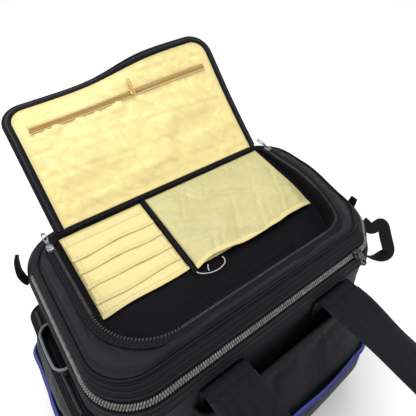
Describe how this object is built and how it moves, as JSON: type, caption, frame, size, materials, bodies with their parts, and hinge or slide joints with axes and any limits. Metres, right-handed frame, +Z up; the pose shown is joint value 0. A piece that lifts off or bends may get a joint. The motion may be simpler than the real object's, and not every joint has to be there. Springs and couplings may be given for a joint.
{
  "type": "flight bag",
  "caption": "Padded nylon flight bag with a zipped lid, a yellow-lined top organizer under a zipped flap, outside pockets, strap loops and two webbing carry handles.",
  "frame": {"origin": "centre of the flat base, on the surface the bag stands on", "axes": "+Z up, +X to the bag's right end, -Y to its front"},
  "size_m": [0.5792, 0.6828, 0.4397],
  "materials": {
    "black_nylon": "woven ballistic nylon, faint sheen",
    "black_webbing": "ribbed webbing",
    "black_tape": "zip tape, coil and piping",
    "yellow_nylon": "thin crinkled lining nylon",
    "gold_tape": "zip tape and coil",
    "blue_trim": "woven trim",
    "grey_binding": "grosgrain binding",
    "bright_metal": "nickel plate",
    "black_metal": "black enamel",
    "gold_metal": "pale gold enamel",
    "white_cord": "thin elastic cord",
    "board": "moulded sheet"
  },
  "bodies": {
    "bag": {"body_shell": "black_nylon", "base_board": "board", "body_zip_band": "black_nylon", "body_zip_chain": "black_tape", "rear_hinge_tape": "black_tape", "front_pocket": "black_nylon", "front_slip_pocket": "black_nylon", "front_trim": "blue_trim", "front_pocket_piping": "black_tape", "left_end_pocket": "black_nylon", "left_slip_pocket": "black_nylon", "left_trim": "blue_trim", "left_pocket_zip": "black_tape", "right_end_pocket": "black_nylon", "right_slip_pocket": "black_nylon", "right_trim": "blue_trim", "right_pocket_zip": "black_tape", "left_pen_sleeve": "black_nylon", "left_sleeve_binding": "grey_binding", "front_handle_anchor_left": "black_webbing", "front_handle_anchor_right": "black_webbing", "rear_handle_anchor_left": "black_webbing", "rear_handle_anchor_right": "black_webbing", "right_strap_loop": "black_webbing", "left_strap_loop": "black_webbing", "corner_tab": "black_webbing"},
    "front_carry_handle": {"front_handle": "black_webbing"},
    "rear_carry_handle": {"rear_handle": "black_webbing"},
    "lid": {"lid_panel": "black_nylon", "lid_piping": "black_tape", "lid_zip_band": "black_nylon", "lid_zip_chain": "black_tape", "organizer_tray": "black_nylon", "organizer_zip_track": "black_tape", "card_panel": "yellow_nylon", "card_slot_1": "yellow_nylon", "card_slot_2": "yellow_nylon", "card_slot_3": "yellow_nylon", "card_slot_4": "yellow_nylon", "organizer_divider": "black_tape", "document_pocket": "yellow_nylon", "key_leash": "white_cord", "key_leash_tail": "white_cord"},
    "main_slider": {"main_zip_slider": "black_metal"},
    "main_pull": {"main_zip_pull": "black_metal"},
    "left_slider": {"organizer_slider_left": "bright_metal"},
    "left_pull": {"organizer_pull_left": "bright_metal"},
    "right_slider": {"organizer_slider_right": "bright_metal"},
    "right_pull": {"organizer_pull_right": "bright_metal"},
    "flap": {"flap_cover": "black_nylon", "flap_pouch": "yellow_nylon", "flap_lining": "yellow_nylon", "flap_zip_tape": "black_tape", "flap_binding": "black_tape", "flap_pocket_zip": "gold_tape"},
    "flap_slider": {"flap_pocket_slider": "gold_metal"},
    "flap_pull": {"flap_pocket_pull": "gold_metal"}
  },
  "joints": [
    {"name": "lid_hinge", "type": "hinge", "parent": "bag", "child": "lid", "pos_m": [0, 0.1467, 0.2752], "axis": [-1, 0, 0], "range_deg": [0, 75]},
    {"name": "flap_hinge", "type": "hinge", "parent": "lid", "child": "flap", "pos_m": [0, 0.1165, 0.296], "axis": [1, 0, 0], "range_deg": [0, 139]},
    {"name": "front_handle_swing", "type": "hinge", "parent": "bag", "child": "front_carry_handle", "pos_m": [0, -0.177, 0.25], "axis": [-1, 0, 0], "range_deg": [0, 85]},
    {"name": "rear_handle_swing", "type": "hinge", "parent": "bag", "child": "rear_carry_handle", "pos_m": [0, 0.164, 0.251], "axis": [1, 0, 0], "range_deg": [0, 60]},
    {"name": "main_zip_run", "type": "slide", "parent": "lid", "child": "main_slider", "axis": [-1, 0, 0], "range_m": [0, 0.31]},
    {"name": "main_pull_swing", "type": "hinge", "parent": "main_slider", "child": "main_pull", "pos_m": [0.15, -0.15179, 0.28312], "axis": [-1, 0, 0], "range_deg": [0, 110]},
    {"name": "left_organizer_zip_run", "type": "slide", "parent": "lid", "child": "left_slider", "axis": [0, -1, 0], "range_m": [0, 0.12]},
    {"name": "left_pull_swing", "type": "hinge", "parent": "left_slider", "child": "left_pull", "pos_m": [-0.2028, 0.1045, 0.2984], "axis": [1, 0, 0], "range_deg": [0, 150]},
    {"name": "right_organizer_zip_run", "type": "slide", "parent": "lid", "child": "right_slider", "axis": [0, -1, 0], "range_m": [0, 0.12]},
    {"name": "right_pull_swing", "type": "hinge", "parent": "right_slider", "child": "right_pull", "pos_m": [0.2028, 0.1045, 0.2984], "axis": [1, 0, 0], "range_deg": [0, 150]},
    {"name": "flap_zip_run", "type": "slide", "parent": "flap", "child": "flap_slider", "axis": [1, 0, 0], "range_m": [-0.15, 0.12]},
    {"name": "flap_pull_swing", "type": "hinge", "parent": "flap_slider", "child": "flap_pull", "pos_m": [0.014, 0.23604, 0.40999], "axis": [1, 0, 0], "range_deg": [0, 100]}
  ]
}
